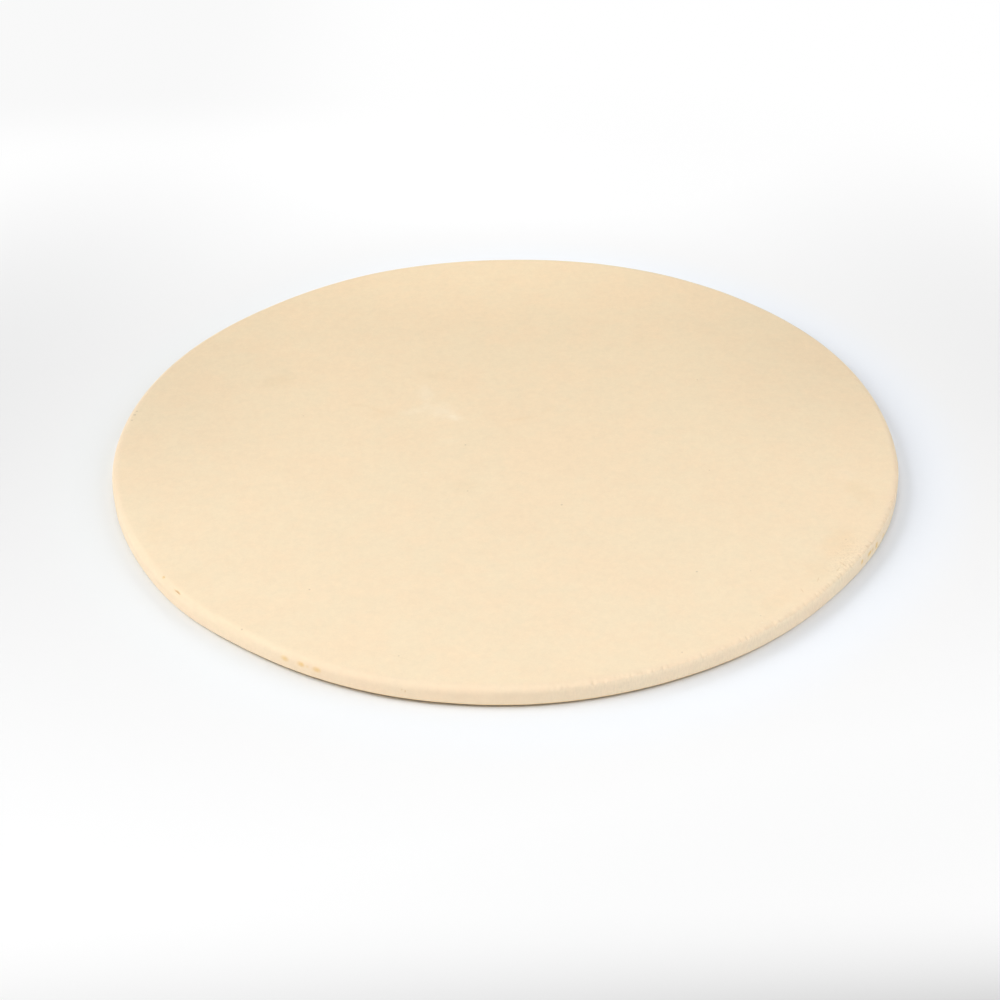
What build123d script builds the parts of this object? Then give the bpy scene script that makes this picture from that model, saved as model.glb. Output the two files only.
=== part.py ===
from build123d import *
import os

# A round pizza stone: one flat disc, pressed from a coarse ceramic body and fired without a glaze.
# It lies on its underside, and the dough bakes on its top face.
# Millimetres. The origin is at the centre of the underside, +Z is up, and Z is the disc's axis.

# Driving dimensions
stone_diameter = 330.0
stone_thickness = 8.0
baking_edge_radius = 3.0  # the sponged round between the baking face and the rim
foot_edge_radius = 0.8  # the smaller round between the rim and the underside

# Both rounds are cut from the one rim, so the rim's height limits each of them
largest_baking_share = 0.6
largest_foot_share = 0.3
baking_round = min(baking_edge_radius, largest_baking_share * stone_thickness)
foot_round = min(foot_edge_radius, largest_foot_share * stone_thickness)

os.makedirs("parts", exist_ok=True)

# The stone: a disc with a straight rim, rounded at the baking face and a little at the foot
with BuildPart() as baking_stone:
    with BuildSketch(Plane.XY) as outline:
        Circle(stone_diameter / 2)
    extrude(amount=stone_thickness)
    edges_by_height = baking_stone.edges().filter_by(GeomType.CIRCLE).group_by(Axis.Z)
    foot_edge = edges_by_height[0]
    baking_edge = edges_by_height[-1]
    fillet(foot_edge, radius=foot_round)
    fillet(baking_edge, radius=baking_round)

baking_stone.part.label = "baking_stone"
export_step(baking_stone.part, "parts/baking_stone.step")
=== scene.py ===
import math

import bpy
import numpy as np
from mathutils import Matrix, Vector


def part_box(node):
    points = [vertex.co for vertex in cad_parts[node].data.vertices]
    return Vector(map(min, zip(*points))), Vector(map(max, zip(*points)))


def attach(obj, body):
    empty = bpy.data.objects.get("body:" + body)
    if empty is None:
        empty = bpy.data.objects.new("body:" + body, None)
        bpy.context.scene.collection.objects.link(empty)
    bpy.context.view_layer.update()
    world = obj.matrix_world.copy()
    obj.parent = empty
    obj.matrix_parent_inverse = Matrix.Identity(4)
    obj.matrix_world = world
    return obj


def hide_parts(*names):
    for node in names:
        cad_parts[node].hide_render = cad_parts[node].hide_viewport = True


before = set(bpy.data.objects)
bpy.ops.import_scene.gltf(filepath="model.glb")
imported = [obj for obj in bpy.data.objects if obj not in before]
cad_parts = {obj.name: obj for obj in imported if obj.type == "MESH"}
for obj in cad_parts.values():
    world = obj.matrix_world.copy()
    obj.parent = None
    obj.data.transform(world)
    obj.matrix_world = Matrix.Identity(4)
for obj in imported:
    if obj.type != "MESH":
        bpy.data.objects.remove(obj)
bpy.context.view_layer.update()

# The camera looks down on the stone from the front, as on a product photographer's tripod. Its place is
# given from the centre of the stone's underside. It stands a degree off level, and its aim leaves the
# stone a little above the middle of the picture, as in the photograph.
camera_back = 0.7154
camera_up = 0.4684
camera_turn_deg = (55.461, 1.008, -0.513)
camera_lens_mm = 72.0
camera_sensor_mm = 36.0

camera_data = bpy.data.cameras.new("camera")
camera_data.lens = camera_lens_mm
camera_data.sensor_width = camera_sensor_mm
camera = bpy.data.objects.new("camera", camera_data)
camera.location = (0.0, -camera_back, camera_up)
camera.rotation_euler = [math.radians(turn) for turn in camera_turn_deg]
bpy.context.scene.collection.objects.link(camera)
bpy.context.scene.camera = camera

# The stone is one disc of coarse cream clay, pressed in a ring, wiped round its edge while it was damp,
# and fired without a glaze. The kiln left it a little out of round. On one side the rim was rubbed back
# on an abrasive block, which left a ragged crease below the baking face and marks across the edge.
stone_low, stone_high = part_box("baking_stone")

# Sizes are in millimetres, and bearings are in degrees from +X, as seen from above
mm = 0.001
plan_radius = (stone_high[0] - stone_low[0]) / 2 / mm
thickness = (stone_high[2] - stone_low[2]) / mm
baking_edge_radius = 3.0
foot_edge_radius = 0.8
dice = np.random.default_rng(11)

# The kiln's waves in the outline: how many go round, how high each is, and its phase in degrees
outline_waves = [(3, 0.33, 130), (4, 0.31, -33), (5, 0.18, -75), (6, 0.28, -100), (7, 0.13, 113),
                 (9, 0.2, -125)]

# Where the ring left the outline proud or short: the middle, how far it spreads, in degrees, and how much
outline_bulges = [(-72, 9, 0.12), (-108, 7, 1.0), (-129.5, 5.5, -1.0), (-147, 10, -0.55), (-40, 6, -0.6),
                  (97, 9, -0.5), (136, 7, -0.35)]

# The rubbed arc: the middle of it, half its width, the stretch over which it fades, its depth, how much
# the crease above it is rounded, and the most of the upper round that it may take
rubbed_bearing = -47.0
rubbed_half_width = 36.0
rubbed_fade = 16.0
rubbed_depth = 1.1
crease_rounding = 0.35
largest_cut = 0.9 * baking_edge_radius

# The kiln warped the disc a little, so that its edge stands off the table: by how much where it is lowest
# and highest, the bearing of the highest, how many degrees from there it starts to fall and has fallen,
# and how far in from the rim the underside comes down
lift_least = 0.04
lift_most = 0.48
lift_bearing = -93.5
lift_falls_from = 28
lift_falls_to = 50
lift_reach = 22.0

# One short stretch of the edge stands higher still: its bearing, how many degrees it spreads, and how
# much it adds
high_stretch_bearing = -109.5
high_stretch_spread = 12
high_stretch_lift = 0.48

# Points round the rim, drawn together round the rubbed arc, where the smallest marks are
columns = 2560
crowding = 0.62


def wave_sum(angle, waves):
    """Waves that go a whole number of times round, added up: each is its height times the cosine of its
    count times the angle, less its phase."""
    counts, heights, phases = waves
    return (np.cos(np.multiply.outer(angle, counts) - phases) * heights).sum(-1)


def random_waves(how_many, fewest, most, height):
    """Waves of random counts and phases, whose heights together come to about the height given."""
    counts = dice.integers(fewest, most, how_many)
    heights = height / math.sqrt(how_many) * dice.uniform(0.8, 1.8, how_many)
    return counts, heights, dice.uniform(0, 2 * np.pi, how_many)


def smooth_step(low, high, value):
    """0 below low and 1 above high, and between them 3 s² less 2 s³, where s is the share of the way."""
    share = np.clip((value - low) / (high - low), 0, 1)
    return share * share * (3 - 2 * share)


def turn_from(bearing_deg, angle):
    """The turn from a bearing to an angle, in radians, from half a turn back to half a turn on."""
    return (angle - math.radians(bearing_deg) + np.pi) % (2 * np.pi) - np.pi


def bearings_of(count):
    """The angles of a ring's points: even steps, drawn together round the rubbed arc by a sine."""
    step = np.arange(count) * 2 * np.pi / count
    return step - crowding * np.sin(turn_from(rubbed_bearing, step))


def outline_radius(angle):
    """The outline's distance from the middle: the true circle, the kiln's waves, and bell-shaped bulges."""
    counts, heights, phases = np.array(outline_waves, float).T
    bulges = sum(height * np.exp(-(np.degrees(turn_from(bearing, angle)) / spread) ** 2 / 2)
                 for bearing, spread, height in outline_bulges)
    return plan_radius + wave_sum(angle, (counts, heights, np.radians(phases))) + bulges


def pressing(angle):
    """How hard the block pressed at an angle: 1 over the rubbed arc, fading to 0 past its two ends."""
    away = np.degrees(np.abs(turn_from(rubbed_bearing, angle)))
    return 1 - smooth_step(rubbed_half_width - rubbed_fade / 2, rubbed_half_width + rubbed_fade / 2, away)


# The clay crumbled along the cut, in waves of 60 to 520 round the rim and 0.3 mm high in all
ragged_waves = random_waves(40, 60, 520, 0.30)


def rubbed_cut(angle):
    """How far the block cut the rim back at an angle: its depth where it pressed, and the clay's crumbs."""
    return pressing(angle) * (rubbed_depth + wave_sum(angle, ragged_waves))


def lift(angle):
    """How far the edge stands off the table at an angle: most round the front and least away from it, and
    more by a bell shape over the high stretch."""
    away = np.degrees(np.abs(turn_from(lift_bearing, angle)))
    from_high_stretch = np.degrees(turn_from(high_stretch_bearing, angle))
    return (lift_least + (lift_most - lift_least) * smooth_step(lift_falls_to, lift_falls_from, away)
            + high_stretch_lift * np.exp(-(from_high_stretch / high_stretch_spread) ** 2 / 2))


def rounded_over(value, softness):
    """The value where it is well over 0, and 0 where it is well under, with a rounded corner between."""
    return (value + np.sqrt(value * value + softness * softness)) / 2


# The press left low waves in the baking face: how many, how high each is, and their directions, lengths
# and phases
relief_count = 14
relief_height = 0.012
relief_turns = dice.uniform(0, 2 * np.pi, relief_count)
relief_lengths = dice.uniform(24, 90, relief_count)
relief_phases = dice.uniform(0, 2 * np.pi, relief_count)


def face_relief(x, y):
    """How far the baking face stands above or below its plane: straight waves in random directions."""
    along = np.multiply.outer(x, np.cos(relief_turns)) + np.multiply.outer(y, np.sin(relief_turns))
    return (np.cos(along * 2 * np.pi / relief_lengths - relief_phases) * relief_height).sum(-1)


# The rim is a grid of rows up its section and columns round it. A row's share runs from 0 at the
# underside, through 1 and 2 at the ends of the straight wall, to 3 at the baking face.
foot_rows = np.linspace(0, 1, 5)[:-1]
wall_rows = np.linspace(1, 2, 7)[:-1]
edge_rows = np.linspace(2, 3, 15)
share = np.concatenate([foot_rows, wall_rows, edge_rows])[:, None]
angle = bearings_of(columns)[None, :]
pressed = pressing(angle)
cut = rubbed_cut(angle)
crease_softness = crease_rounding * pressed
edge_lift = lift(angle)

# The section is a quarter round, a straight wall and a quarter round. The block took off all that stood
# further out than its cut, so the upper round starts in a crease, and rows meet along that crease.
middle_turn = math.radians(45)
crease_turn = np.arccos(1 - np.clip(cut, 0, largest_cut) / baking_edge_radius)
row_turn = crease_turn + (1 - pressed) * (middle_turn - crease_turn)
foot_turn = np.clip(share, 0, 1) * np.pi / 2
wall_share = np.clip(share - 1, 0, 1)
edge_share = np.clip(share - 2, 0, 1)
edge_turn = np.where(edge_share < 0.5, 2 * edge_share * row_turn,
                     row_turn + (2 * edge_share - 1) * (np.pi / 2 - row_turn))
foot_inward = foot_edge_radius * (1 - np.sin(foot_turn))
edge_inward = rounded_over(baking_edge_radius * (1 - np.cos(edge_turn)) - cut, crease_softness)
inward = np.where(share < 1, foot_inward, edge_inward)
height = edge_lift + foot_edge_radius * (1 - np.cos(foot_turn)) + baking_edge_radius * np.sin(edge_turn)
height = height + wall_share * (thickness - baking_edge_radius - foot_edge_radius - edge_lift)

# The block's flat lies within a third of a millimetre of the outline. Marks sink straight inwards on the
# wall, and square to the surface on the upper round.
worn = pressed * smooth_step(0.32, 0.04, inward) * (share > 0.3)
on_round = smooth_step(0.0, 0.2, edge_inward)
outward_part = (1 - on_round + on_round * np.cos(edge_turn)) * np.where(share < 1, np.sin(foot_turn), 1.0)
upward_part = on_round * np.sin(edge_turn)

steps_up = np.hypot(np.diff(inward, axis=0), np.diff(height, axis=0))
run_up = np.concatenate([np.zeros((1, columns)), np.cumsum(steps_up, axis=0)])


def dent(bearing, at_height, half_length, half_width, depth):
    """The depth of one dent over the whole rim: a bowl whose edge is where the distance from its middle,
    in half lengths along the rim and half widths up the section, comes to 1."""
    turn = turn_from(bearing, angle)
    column = np.argmin(np.abs(turn[0]))
    middle = np.interp(at_height, height[:, column], run_up[:, column])
    reach = (turn * plan_radius / half_length) ** 2 + ((run_up - middle) / half_width) ** 2
    return depth * np.clip(1 - reach, 0, 1)


# Pits that show in the photograph: bearing, height, half length, half width and depth
rim_pits = [(-140.7, 7.4, 2.6, 0.35, 0.4), (-144.7, 7.7, 0.7, 0.4, 0.2), (-103.0, 4.7, 0.45, 0.4, 0.35),
            (-103.4, 5.2, 0.35, 0.3, 0.2)]
pitted = sum(dent(*pit) for pit in rim_pits)

# Chips that the block broke out of the crease: how many, and from what to what their bearings, half
# lengths, half widths and depths go. They are the same each time because the dice are seeded.
chip_count = 90
chip_bearings = (-82, -14)
chip_half_lengths = (0.5, 1.8)
chip_half_widths = (0.4, 1.0)
chip_depths = (0.03, 0.13)
chipped = np.zeros_like(pitted)
for bearing in dice.uniform(*chip_bearings, chip_count):
    column = np.argmin(np.abs(turn_from(bearing, angle[0])))
    crease_height = thickness - baking_edge_radius * (1 - math.sin(crease_turn[0, column]))
    half_length = dice.uniform(*chip_half_lengths)
    half_width = dice.uniform(*chip_half_widths)
    depth = dice.uniform(*chip_depths)
    chipped = np.maximum(chipped, dent(bearing, crease_height, half_length, half_width, depth))

# The block's marks run up and down the edge, and stand side by side round it, faint off the rubbed arc
mark_height = 0.008
pressed_mark_height = 0.03
mark_count = 60
mark_counts = dice.integers(500, 1300, mark_count)
mark_lengths = dice.uniform(2.0, 7.0, mark_count)
mark_phases = dice.uniform(0, 2 * np.pi, (2, mark_count))
round_part = np.cos(np.multiply.outer(angle, mark_counts) - mark_phases[0])
up_part = np.cos(np.multiply.outer(run_up, 2 * np.pi / mark_lengths) - mark_phases[1])
block_marks = (round_part * up_part).sum(-1) / math.sqrt(mark_count)
block_marks = block_marks * (mark_height + pressed_mark_height * pressed)
block_marks = block_marks * np.clip(share, 0, 1) * np.clip((3 - share) * 2, 0, 1)

# Hand wiping left the rim a little uneven, and the unevenness changes on the way up
wiping = wave_sum(angle, random_waves(18, 12, 70, 0.04)) * np.cos(run_up / 5)
wiping = wiping + wave_sum(angle, random_waves(30, 70, 240, 0.018)) * np.sin(run_up / 2.5)

sunk = pitted + chipped + block_marks + wiping * np.clip(3 - share, 0, 1) * np.clip(share, 0, 1)
rim_radius = outline_radius(angle) - inward - sunk * outward_part
rim_x, rim_y = rim_radius * np.cos(angle), rim_radius * np.sin(angle)
rim_height = height - (pitted + chipped) * upward_part
rim_height = rim_height + face_relief(rim_x, rim_y) * (height / thickness) ** 3
rim_points = np.stack([rim_x, rim_y, rim_height], -1)

# Each face is rings of points from the rim to its middle, given as the number of points and the radius
face_edge = plan_radius - baking_edge_radius
top_rings = [(1280, 161.4), (1280, 160.4), (640, 159.0), (640, 157.0), (640, 154.0), (320, 150.0)]
top_rings += [(320, radius) for radius in np.linspace(145, 80, 14)]
top_rings += [(160, radius) for radius in np.linspace(75, 40, 8)]
top_rings += [(80, radius) for radius in (35, 30, 25, 20)] + [(40, 15), (40, 10), (20, 5)]
under_rings = [(20, 8), (40, 20), (80, 40), (160, 70), (320, 110), (320, 142), (320, 148), (640, 153),
               (1280, 158), (1280, 162)]


def face_ring(count, radius, upper):
    """One ring of a face: the edge of that face drawn in towards the middle by the share that the radius
    has of the face's own, at the height of the face."""
    turn = bearings_of(count)
    face_outline = outline_radius(turn) - baking_edge_radius + rubbed_cut(turn)
    reach = radius / face_edge * face_outline
    x, y = reach * np.cos(turn), reach * np.sin(turn)
    rise = smooth_step(plan_radius - lift_reach, plan_radius - foot_edge_radius, radius)
    z = thickness + face_relief(x, y) if upper else lift(turn) * rise
    return np.stack([x, y, z], -1)


rings = [(count, face_ring(count, radius, False)) for count, radius in under_rings]
rim_start = len(rings)
rings += [(columns, row) for row in rim_points]
rings += [(count, face_ring(count, radius, True)) for count, radius in top_rings]
top_middle = thickness + face_relief(np.zeros(1), np.zeros(1))[0]
points = np.concatenate([ring for count, ring in rings] + [[(0, 0, 0), (0, 0, top_middle)]])
starts = np.concatenate([[0], np.cumsum([count for count, ring in rings])])
under_pole, top_pole = len(points) - 2, len(points) - 1


def band(low_start, low_count, high_start, high_count):
    """The faces between two rings: four-sided where both have as many points, and five-sided where one
    has half as many."""
    few = min(low_count, high_count)
    here = np.arange(few)
    after = (here + 1) % few
    if low_count == high_count:
        return np.stack([low_start + here, low_start + after, high_start + after, high_start + here], -1)
    if low_count > high_count:
        return np.stack([low_start + 2 * here, low_start + 2 * here + 1, low_start + 2 * after,
                         high_start + after, high_start + here], -1)
    return np.stack([low_start + here, low_start + after, high_start + 2 * after,
                     high_start + 2 * here + 1, high_start + 2 * here], -1)


def cap(start, count, pole, upward):
    """The three-sided faces that close a ring on its pole."""
    here = np.arange(count)
    after = (here + 1) % count
    sides = [start + here, start + after] if upward else [start + after, start + here]
    return np.stack(sides + [np.full(count, pole)], -1)


faces = cap(starts[0], rings[0][0], under_pole, False).tolist()
for number in range(len(rings) - 1):
    faces += band(starts[number], rings[number][0], starts[number + 1], rings[number + 1][0]).tolist()
faces += cap(starts[len(rings) - 1], rings[-1][0], top_pole, True).tolist()

stone_mesh = bpy.data.meshes.new("stone")
stone_mesh.from_pydata((points * mm).tolist(), [], faces)
stone_mesh.shade_smooth()

# Edges that turn by more than this are drawn sharp, as the crease and the chips are
crease_least_deg = 32.0
stone_mesh.set_sharp_from_angle(angle=math.radians(crease_least_deg))


def on_rim(rim_values, below=0.0):
    """The rim's values among those of all the mesh's points, with 0 over the baking face and the given
    value below, over the underside."""
    values = np.zeros(len(points))
    values[:starts[rim_start]] = below
    values[under_pole] = below
    values[starts[rim_start]:starts[rim_start] + rim_values.size] = rim_values.ravel()
    return values


def patches_of(patches):
    """Soft patches over all the points, added up: each is its strength in the middle, and fades to 0 where
    the distance from there, in its half lengths along x and its half widths along y, comes to 1."""
    away = [np.hypot((points[:, 0] - x) / half_length, (points[:, 1] - y) / half_width)
            for x, y, half_length, half_width, strength in patches]
    return sum(patch[-1] * smooth_step(1, 0, distance) for patch, distance in zip(patches, away))


# Painted light and shade: the face is painted darker at its left and right and paler at its back, as the
# light falls on it. The kiln gave it pinkish clouds and, where the strength is under 0, greenish ones. Each
# patch is x, y, half length, half width and strength
face_light_patches = [(-165, 45, 100, 130, -0.075), (165, 62, 110, 110, -0.07), (0, 165, 170, 85, 0.10)]
pink_patches = [(18, -10, 30, 36, 1.0), (118, -118, 26, 22, 1.0), (134, -62, 18, 24, 1.0),
                (-128, 44, 20, 18, 1.0), (62, 120, 26, 16, 1.0), (80, -76, 50, 22, -0.7),
                (10, 70, 95, 18, -0.7), (-38, 15, 14, 14, -0.8), (-60, -80, 34, 20, -0.5),
                (-98, 128, 16, 14, -1.0)]

# Iron in the clay has bled to yellow-brown spots on the rim: bearing, height, half length, half height
# and strength
iron_spots = [(-120.0, 5.2, 2.3, 1.4, 0.8), (-117.5, 5.3, 1.9, 1.4, 1.0), (-115.1, 5.3, 2.1, 1.4, 0.9),
              (-116.5, 5.3, 0.8, 0.8, 0.4), (-27.5, 3.3, 1.5, 1.5, 1.9), (-30.0, 3.9, 2.3, 1.2, 1.5),
              (-32.5, 4.3, 1.2, 1.5, 1.1), (-28.9, 3.7, 1.0, 1.0, 0.9), (-144.7, 7.6, 1.0, 0.9, 0.7),
              (-24.4, 2.3, 1.8, 0.9, 1.0)]

# Painted shade: the foot is tinted brown for the dark line where it meets the table, more so where the edge
# stands off the table
least_shade = 0.3
shade_by_lift = least_shade + (1 - least_shade) * smooth_step(0.1, 0.45, edge_lift)
rim_shade_at_foot = smooth_step(0.7, 0.1, height - edge_lift) * shade_by_lift

# What the material needs to know at each point. Dents deeper than this have their full colour.
full_dent = 0.3
point_values = {"rubbed": on_rim(worn), "pitted": on_rim(np.clip(pitted / full_dent, 0, 1)),
                "chipped": on_rim(np.clip(chipped / full_dent, 0, 1)),
                "iron": on_rim(sum(dent(*spot) for spot in iron_spots)),
                "face_light": patches_of(face_light_patches), "pinkish": patches_of(pink_patches),
                "shaded_foot": on_rim(rim_shade_at_foot, 1.0)}
for name, values in point_values.items():
    stone_mesh.attributes.new(name, "FLOAT", "POINT").data.foreach_set("value", values)
stone = bpy.data.objects.new("stone", stone_mesh)
bpy.context.scene.collection.objects.link(stone)

# Unglazed clay: matt, cream, finely sandy, and marked by handling, with painted light that makes it a little
# lighter towards the front
stone_material = bpy.data.materials.new("unglazed_ceramic")
stone_material.use_nodes = True
clay = stone_material.node_tree
clay_shader = clay.nodes["Principled BSDF"]


def feed(tree, socket, value):
    """Links a node's input to another node's output, or gives it a plain value."""
    if isinstance(value, bpy.types.NodeSocket):
        tree.links.new(value, socket)
    else:
        socket.default_value = value


def add_node(tree, kind, values, result=0, **settings):
    """Adds a node with its settings, fills its inputs by place, and gives the output that is wanted."""
    node = tree.nodes.new(kind)
    for name, setting in settings.items():
        setattr(node, name, setting)
    for place, value in values.items():
        feed(tree, node.inputs[place], value)
    return node.outputs[result]


def clay_node(kind, values, result=0, **settings):
    """A node of the clay's material."""
    return add_node(clay, kind, values, result, **settings)


def sum_of(first, second):
    """The sum of two values."""
    return clay_node("ShaderNodeMath", {0: first, 1: second}, operation="ADD")


def product(first, second):
    """The product of two values."""
    return clay_node("ShaderNodeMath", {0: first, 1: second}, operation="MULTIPLY")


def ramp(value, low, high, from_value=0.0, to_value=1.0):
    """A value carried from one range to another, level at both ends and held past them."""
    return clay_node("ShaderNodeMapRange", {0: value, 1: low, 2: high, 3: from_value, 4: to_value},
                     interpolation_type="SMOOTHSTEP")


def grain(size, detail, roughness, shift=0.0, lengths=(1, 1, 1), along=None):
    """Cloudy noise of a size in mm, centred on 0 and about from -0.5 to 0.5, drawn out by lengths."""
    scale = tuple(1 / (size * length) for length in lengths)
    vector = clay_node("ShaderNodeMapping", {0: along or at_mm, 1: (shift, shift, shift), 3: scale})
    noise = clay_node("ShaderNodeTexNoise", {"Vector": vector, "Scale": 1.0, "Detail": detail,
                                             "Roughness": roughness})
    return clay_node("ShaderNodeMath", {0: noise, 1: 0.5}, operation="SUBTRACT")


def tinted(colour, tint, amount):
    """A colour multiplied by a tint, by an amount from 0, not at all, to 1."""
    return clay_node("ShaderNodeMix", {0: amount, 6: colour, 7: (*tint, 1)}, result=2,
                     data_type="RGBA", blend_type="MULTIPLY", clamp_factor=True)


at = clay_node("ShaderNodeTexCoord", {}, result="Object")
at_mm = clay_node("ShaderNodeVectorMath", {0: at, "Scale": 1 / mm}, operation="SCALE")
place_x = clay_node("ShaderNodeSeparateXYZ", {0: at_mm}, result=0)
place_y = clay_node("ShaderNodeSeparateXYZ", {0: at_mm}, result=1)
place_z = clay_node("ShaderNodeSeparateXYZ", {0: at_mm}, result=2)
rim_turn = clay_node("ShaderNodeMath", {0: place_y, 1: place_x}, operation="ARCTAN2")
round_rim = clay_node("ShaderNodeCombineXYZ", {0: product(rim_turn, plan_radius), 1: place_z})
rubbed, in_pit, in_chip, iron_here, face_light_here, pinkish, shaded_foot = [
    clay_node("ShaderNodeAttribute", {}, result="Fac", attribute_name=name) for name in point_values]
place_in_plan = clay_node("ShaderNodeCombineXYZ", {0: place_x, 1: place_y})
from_axis = clay_node("ShaderNodeVectorMath", {0: place_in_plan}, result="Value", operation="LENGTH")
on_face = product(ramp(place_z, 3.0, 6.0), ramp(from_axis, plan_radius + 0.5, plan_radius - 4.0))

# Ground colour: two creams in soft clouds, with the sand's own light and dark grains
cream_warm = (0.852, 0.687, 0.498, 1)
cream_cool = (0.836, 0.696, 0.511, 1)
clouds = sum_of(grain(17, 2, 0.5), product(grain(4, 2, 0.5, shift=4), 0.5))
clouds = ramp(sum_of(clouds, product(pinkish, 0.2)), -0.3, 0.3)
colour = clay_node("ShaderNodeMix", {0: clouds, 6: cream_cool, 7: cream_warm}, result=2, data_type="RGBA")

# Painted light: the shares by which the face's tone changes from its middle to its right and to its back,
# which paint it lighter at the front and darker at the back, as the light falls
tone_to_right, tone_to_back = 0.010, -0.098
tone_slope = (tone_to_right / plan_radius, tone_to_back / plan_radius, 0)
painted_light_lean = clay_node("ShaderNodeVectorMath", {0: at_mm, 1: tone_slope}, result="Value", operation="DOT_PRODUCT")
tone = sum_of(sum_of(product(painted_light_lean, ramp(place_z, 5.0, 7.9)), product(face_light_here, on_face)), 1.0)

# Clouds and sand, from coarse to fine: size, detail, and share of the tone
for size, detail, share_of_tone in ((32, 1, 0.012), (12, 5, 0.085), (3.2, 2, 0.095), (0.45, 1, 0.05)):
    tone = sum_of(tone, product(grain(size, detail, 0.95, shift=size), share_of_tone))
colour = clay_node("ShaderNodeVectorMath", {0: colour, "Scale": tone}, operation="SCALE")

# The face is painted paler than the rim, as painted light on the top that faces the lamps, and it is yellower
# towards its back
face_painted_light = (1.030, 1.057, 1.054)
back_yellow = (1.0, 0.958, 0.891)
towards_back = ramp(place_y, -1.5 * plan_radius, 1.5 * plan_radius)
colour = tinted(colour, face_painted_light, on_face)
colour = tinted(colour, back_yellow, product(towards_back, on_face))

# Where the block rubbed, the clay is dusty, with fine streaks up and down the edge. Its chips are a little
# darker, and the pits are tinted brown.
dusty = (1.0, 1.03, 1.06)
streak_grey = (0.945, 0.945, 0.945)
chip_grey = (0.97, 0.97, 0.975)
pit_brown = (0.80, 0.66, 0.45)
streaks = grain(0.6, 2, 0.6, lengths=(1, 4, 1), along=round_rim)
colour = tinted(colour, dusty, rubbed)
colour = tinted(colour, streak_grey, product(rubbed, ramp(streaks, 0.12, -0.18)))
colour = tinted(colour, chip_grey, in_chip)
colour = tinted(colour, pit_brown, in_pit)

# Painted shade: the foot's round and the underside near it are tinted brown, for the dark line where the foot
# meets the table. Further in, the underside has pale brown clouds.
foot_shade_brown = (0.89, 0.71, 0.33)
underside_clouds = ramp(grain(34, 3, 0.6, shift=6), -0.3, 0.3, 0.05, 0.30)
by_foot = ramp(from_axis, plan_radius - 16, plan_radius - 7)
foot_shade_share = clay_node("ShaderNodeMath", {0: underside_clouds, 1: by_foot}, operation="MAXIMUM")
colour = tinted(colour, foot_shade_brown, product(shaded_foot, foot_shade_share))


def soft_spot(place, half_sizes, turn_deg=0.0, core=0.3, broken=0.25):
    """A field that is 1 within the core of an ellipsoid and fades to 0 at its surface, where cloudy noise
    breaks its edge. The place and the half sizes are in mm, and it is turned about the vertical."""
    turned = (0, 0, math.radians(turn_deg))
    inside = clay_node("ShaderNodeMapping", {0: at_mm, 1: place, 2: turned, 3: half_sizes},
                       vector_type="TEXTURE")
    away = clay_node("ShaderNodeVectorMath", {0: inside}, result="Value", operation="LENGTH")
    away = sum_of(away, product(edge_noise, broken))
    return ramp(away, 1.0, core)


edge_noise = grain(3.2, 3, 0.6, shift=5)
face = thickness

# Lime and old flour rubbed into the face, most of it near the middle: x, y, half length, half width, turn
# and strength
pale = (1.03, 1.055, 1.10)
pale_marks = [(-27, 23, 12, 8, -35, 0.9), (-34, 37, 5, 12, 10, 0.75), (-39, 23, 9, 4, 20, 0.65),
              (-21, 17, 6, 4, -10, 0.9), (-23, -1, 7, 4, 0, 0.25), (-32.6, -25.1, 1.1, 0.9, 0, 1.0),
              (94.6, -130, 0.8, 0.6, 0, 0.9), (88.5, 104.4, 8, 0.7, -35, 0.3), (141, -32, 8, 7, 0, 0.3)]
for x, y, half_length, half_width, turn, strength in pale_marks:
    spot = soft_spot((x, y, face), (half_length, half_width, 3), turn, core=0.1, broken=1.1)
    colour = tinted(colour, pale, product(spot, strength))

# Faint wisps and stains of cooking on the face
stain = (0.97, 0.955, 0.93)
stains = [(-64.8, 28.9, 6, 1.8, -2, 0.6), (-55.3, 24.9, 8, 2.0, -37, 0.7), (7.4, 15.1, 8, 1.8, 15, 0.9),
          (19.4, 22, 9, 1.6, 43, 0.4), (27.8, 30, 5, 1.4, 46, 0.4), (-99.6, 51.4, 12, 9, 20, 0.7),
          (-139.6, -62.4, 7, 14, 0, 0.4), (-123, -93, 9, 7, 0, 0.3), (-30, 53, 12, 6, 0, 0.5),
          (-16, -35, 10, 7, 0, 0.45), (-53, 21, 10, 5, 0, 0.4), (142.8, -43, 7, 9, 0, 0.9),
          (-39.7, -146.3, 7, 0.5, -25, 0.8), (86, 122, 5, 0.5, -35, 0.5), (-21.6, 110.4, 1.2, 0.5, 0, 0.7)]
for x, y, half_length, half_width, turn, strength in stains:
    spot = soft_spot((x, y, face), (half_length, half_width, 3), turn, core=0.1, broken=0.9)
    colour = tinted(colour, stain, product(spot, strength))

# The worn, warmer patches inside the rim, by the rubbed arc
warm = (0.985, 0.962, 0.935)
warm_patches = [(131, -80, 16, 9, 62, 0.9), (120, -98, 12, 7, 45, 0.5), (101, -117, 14, 6, 40, 0.4),
                (146, -50, 10, 6, 70, 0.4)]
for x, y, half_length, half_width, turn, strength in warm_patches:
    spot = soft_spot((x, y, face), (half_length, half_width, 3), turn, core=0.2, broken=1.0)
    colour = tinted(colour, warm, product(spot, strength))

# One of them is rough. Painted light and shade: its grains are painted darker where the grain noise is high
# and paler where it is low, as light and shade on rough grains would fall
grain_shade = (0.94, 0.93, 0.92)
grain_lit = (1.05, 1.05, 1.06)
rough = soft_spot((133, -90, face), (20, 9, 3), 60, core=0.3, broken=0.8)
rough_grain = grain(0.7, 1, 0.5, shift=7)
colour = tinted(colour, grain_shade, product(rough, ramp(rough_grain, 0.04, 0.16)))
colour = tinted(colour, grain_lit, product(rough, ramp(rough_grain, -0.04, -0.16)))

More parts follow.
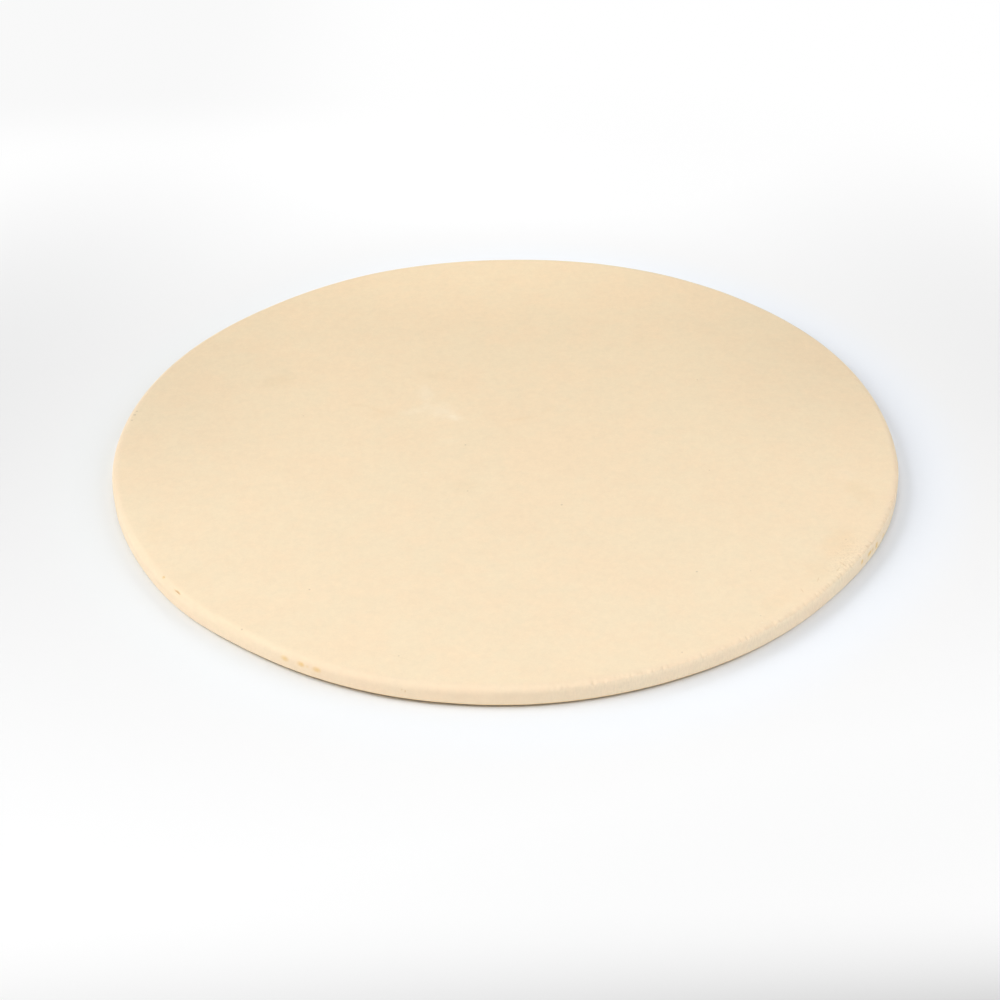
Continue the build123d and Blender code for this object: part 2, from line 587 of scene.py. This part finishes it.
# Short scores in it: x, y, half length and turn
score_brown = (0.90, 0.86, 0.79)
score_half_width = 0.35
scores = [(130, -94.7, 2.8, -56), (135.6, -94.5, 3.2, -92), (127.5, -98, 2.2, -123), (119, -104, 2.4, -110),
          (112, -111, 2.0, -70)]
for x, y, half_length, turn in scores:
    spot = soft_spot((x, y, face), (half_length, score_half_width, 1.2), turn, core=0.2, broken=0.5)
    colour = tinted(colour, score_brown, spot)

# Dark grains in the face: x, y and half size. The distance is the one to the nearest grain's surface.
speck_grey = (0.80, 0.79, 0.78)
specks = [(73.2, -97.5, 0.5), (22.8, -50.6, 0.5), (-75.5, -104.2, 0.45), (-16.4, -4.7, 0.45),
          (-15.3, -39.4, 0.4), (86.2, 44.6, 0.4), (-86.9, 21.1, 0.35), (84.7, -27.6, 0.35),
          (63.4, -146.6, 0.35), (133.5, -78.3, 0.35), (-40, -145.5, 0.35), (-99.1, -127.9, 0.5),
          (94.5, -125.9, 0.3), (93.9, -97.7, 0.3), (-160.6, 24.6, 0.7), (-160, 27.5, 0.5),
          (-161.2, 20.2, 0.5)]
to_speck = 100.0
for x, y, half_size in specks:
    away = clay_node("ShaderNodeVectorMath", {0: at_mm, 1: (x, y, face)}, result="Value",
                     operation="DISTANCE")
    to_speck = clay_node("ShaderNodeMath", {0: to_speck, 1: sum_of(away, -half_size)}, operation="MINIMUM")
colour = tinted(colour, speck_grey, ramp(to_speck, 0.1, -0.25))

# The iron's spots, whose edges the clay's clouds break
iron = (0.93, 0.815, 0.51)
colour = tinted(colour, iron, product(iron_here, sum_of(product(edge_noise, 1.2), 1.0)))

feed(clay, clay_shader.inputs["Base Color"], colour)
roughness = sum_of(product(grain(2.5, 2, 0.5, shift=9), 0.12), 0.9)
feed(clay, clay_shader.inputs["Roughness"], roughness)
clay_shader.inputs["Diffuse Roughness"].default_value = 0.4
clay_shader.inputs["Specular IOR Level"].default_value = 0.3

# The sand's own relief in mm, the block's streaks, and the rough patch by the rim
sand = product(grain(0.6, 3, 0.65, shift=3), 0.007)
relief = sum_of(sand, product(product(streaks, rubbed), 0.03))
relief = sum_of(relief, product(product(rough, rough_grain), 0.04))
bumped = clay_node("ShaderNodeBump", {"Strength": 1.0, "Distance": mm, "Height": relief})
feed(clay, clay_shader.inputs["Normal"], bumped)
stone_mesh.materials.append(stone_material)

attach(stone, "root")
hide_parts("baking_stone")

# The table is a wide sheet of white paper. Near the stone it takes light and shadow as paper does. Away
# from it, what the camera and mirrors see of it turns into plain white, as a lit backdrop would. Its places
# are in metres.
floor_half = 30.0
floor_mesh = bpy.data.meshes.new("table")
corners = [(x * floor_half, y * floor_half, 0) for x, y in ((-1, -1), (1, -1), (1, 1), (-1, 1))]
floor_mesh.from_pydata(corners, [], [(0, 1, 2, 3)])
floor = bpy.data.objects.new("table", floor_mesh)
bpy.context.scene.collection.objects.link(floor)

floor_material = bpy.data.materials.new("white_paper")
floor_material.use_nodes = True
paper = floor_material.node_tree
paper.nodes.clear()


def paper_node(kind, values, result=0, **settings):
    """A node of the paper's material."""
    return add_node(paper, kind, values, result, **settings)


def combined(first, second, how="ADD"):
    """Two of the paper's values added, or put together in another way."""
    return paper_node("ShaderNodeMath", {0: first, 1: second}, operation=how)


def paper_ramp(value, low, high, from_value=0.0, to_value=1.0):
    """One of the paper's values carried from one range to another, level at both ends and held past them."""
    return paper_node("ShaderNodeMapRange", {0: value, 1: low, 2: high, 3: from_value, 4: to_value},
                      interpolation_type="SMOOTHSTEP")


on_floor = paper_node("ShaderNodeTexCoord", {}, result="Object")
from_middle = paper_node("ShaderNodeVectorMath", {0: on_floor}, result="Value", operation="LENGTH")
floor_x = paper_node("ShaderNodeSeparateXYZ", {0: on_floor}, result=0)
floor_y = paper_node("ShaderNodeSeparateXYZ", {0: on_floor}, result=1)
across = combined(floor_x, plan_radius * mm, "DIVIDE")
along = combined(floor_y, plan_radius * mm, "DIVIDE")
across_square = combined(across, across, "MULTIPLY")
along_square = combined(along, along, "MULTIPLY")

# Painted light: the paper's tone is made lighter and darker by place, where the lamps' light falls more or
# less
# The paper's tone in the middle, by how much it grows to the right and, as a square, to the back and the
# front, how much it falls as a square to the sides, more so at the back, and the most that it comes to
tone_in_middle, tone_to_side, tone_to_ends = 0.872, 0.040, 0.046
fall_to_sides, fall_more_at_back, tone_most = 0.042, 0.034, 0.96
paper_tone = combined(combined(across, tone_to_side, "MULTIPLY"), tone_in_middle)
paper_tone = combined(paper_tone, combined(along_square, tone_to_ends, "MULTIPLY"))
fall = combined(combined(along, fall_more_at_back, "MULTIPLY"), fall_to_sides)
paper_tone = combined(paper_tone, combined(across_square, fall, "MULTIPLY"), "SUBTRACT")

# In front of the stone the paper falls off to a strip of light grey: where that starts, how deep it goes,
# how much dimmer it is there, how much more for each metre to the right, and the least light. Then it ends.
strip_start, strip_depth = -0.262, 0.0374
strip_dim, strip_lean, strip_least = 0.148, 0.42, 0.72
strip_ends_from, strip_ends_to = -0.32, -0.42
strip_share = combined(combined(strip_start, floor_y, "SUBTRACT"), strip_depth, "DIVIDE")
strip_share = combined(strip_share, 0.0, "MAXIMUM")
strip_dark = combined(combined(floor_x, strip_lean, "MULTIPLY"), strip_dim)
strip_dark = combined(strip_dark, combined(strip_share, strip_share, "MULTIPLY"), "MULTIPLY")
strip_light = combined(1.0, strip_dark, "SUBTRACT")
strip_end = paper_ramp(floor_y, strip_ends_from, strip_ends_to, strip_least, 1.0)
strip_light = combined(combined(strip_light, strip_end, "MAXIMUM"), 1.0, "MINIMUM")
paper_tone = combined(combined(paper_tone, tone_most, "MINIMUM"), strip_light, "MULTIPLY")

# Close to the stone, whose yellow light it takes, the paper is a little less red and more blue
near_from, near_to = 0.165, 0.205
paper_near = paper_ramp(from_middle, near_to, near_from)


def near_stone(in_middle, to_right):
    """A share that holds close to the stone: its value in the middle, and how it grows to the right."""
    return combined(paper_near, combined(combined(across, to_right, "MULTIPLY"), in_middle), "MULTIPLY")


# Painted shadow colour: the paper is bluer still to the right, where the stone's shadow lies
less_red = near_stone(0.032, 0.010)
more_blue = near_stone(0.034, 0.030)
paper_red = combined(paper_tone, combined(1.0, less_red, "SUBTRACT"), "MULTIPLY")
paper_blue = combined(paper_tone, combined(1.0, more_blue), "MULTIPLY")
paper_colour = paper_node("ShaderNodeCombineColor", {0: paper_red, 1: paper_tone, 2: paper_blue})
diffuse = paper_node("ShaderNodeBsdfDiffuse", {"Color": paper_colour})

# The backdrop's light is a little weaker far back on the left
corner_dim = 0.055
corner_side = paper_ramp(floor_x, -0.04, -0.20, 0.0, corner_dim)
corner_back = paper_ramp(floor_y, 0.30, 0.40)
white_light = combined(strip_light, combined(corner_side, corner_back, "MULTIPLY"), "SUBTRACT")
white = paper_node("ShaderNodeEmission", {"Color": (1, 1, 1, 1), "Strength": white_light})

# That light shows to the camera and in mirrors alone, and only away from the stone
light_path = paper.nodes.new("ShaderNodeLightPath")
seen = combined(light_path.outputs["Is Camera Ray"], light_path.outputs["Is Glossy Ray"], "MAXIMUM")
seen = combined(seen, light_path.outputs["Is Transmission Ray"], "MAXIMUM")
fades_from, fades_to = 0.2, 0.42
faded = paper_ramp(from_middle, fades_from, fades_to)
paper_look = paper_node("ShaderNodeMixShader", {0: combined(faded, seen, "MULTIPLY"), 1: diffuse, 2: white})
paper.links.new(paper_look, paper.nodes.new("ShaderNodeOutputMaterial").inputs["Surface"])
floor_mesh.materials.append(floor_material)

# Four soft boxes stand round the table and over it, and a long low one in front gives the light that a
# sweep of white paper would. Each is given by its bearing seen from above, its elevation, its distance, its
# width, its height and its watts, and faces the middle of the stone.
soft_boxes = {"left_box": (180, 40, 1.3, 0.9, 0.9, 12.3), "right_box": (0, 40, 1.3, 0.9, 0.9, 6.7),
              "back_box": (90, 40, 1.6, 0.9, 0.9, 5.4), "top_box": (180, 89, 1.6, 0.9, 0.9, 6.3),
              "low_box": (-90, 7, 1.8, 2.4, 0.3, 18.0)}
for name, (bearing, elevation, distance, width, height, watts) in soft_boxes.items():
    turned, raised = math.radians(bearing), math.radians(elevation)
    lamp_data = bpy.data.lights.new(name, "AREA")
    lamp_data.shape = "RECTANGLE"
    lamp_data.size = width
    lamp_data.size_y = height
    lamp_data.energy = watts
    lamp = bpy.data.objects.new(name, lamp_data)
    lamp.location = Vector((math.cos(turned) * math.cos(raised), math.sin(turned) * math.cos(raised),
                            math.sin(raised))) * distance
    lamp.rotation_euler = (-lamp.location).to_track_quat("-Z", "Y").to_euler()
    bpy.context.scene.collection.objects.link(lamp)

# The room's pale walls light the stone evenly from all sides, and are plain white to the camera and to
# mirrors
room_strength = 0.04
world = bpy.data.worlds.new("room")
bpy.context.scene.world = world
world.use_nodes = True
room = world.node_tree
room_light = room.nodes["Background"]
room_light.inputs["Color"].default_value = (1, 1, 1, 1)
room_path = room.nodes.new("ShaderNodeLightPath")
strength = room_strength
for ray in ("Is Camera Ray", "Is Glossy Ray", "Is Transmission Ray"):
    strength = add_node(room, "ShaderNodeMath", {0: room_path.outputs[ray], 1: strength}, operation="MAXIMUM")
feed(room, room_light.inputs["Strength"], strength)

bpy.context.scene.view_settings.view_transform = "Standard"
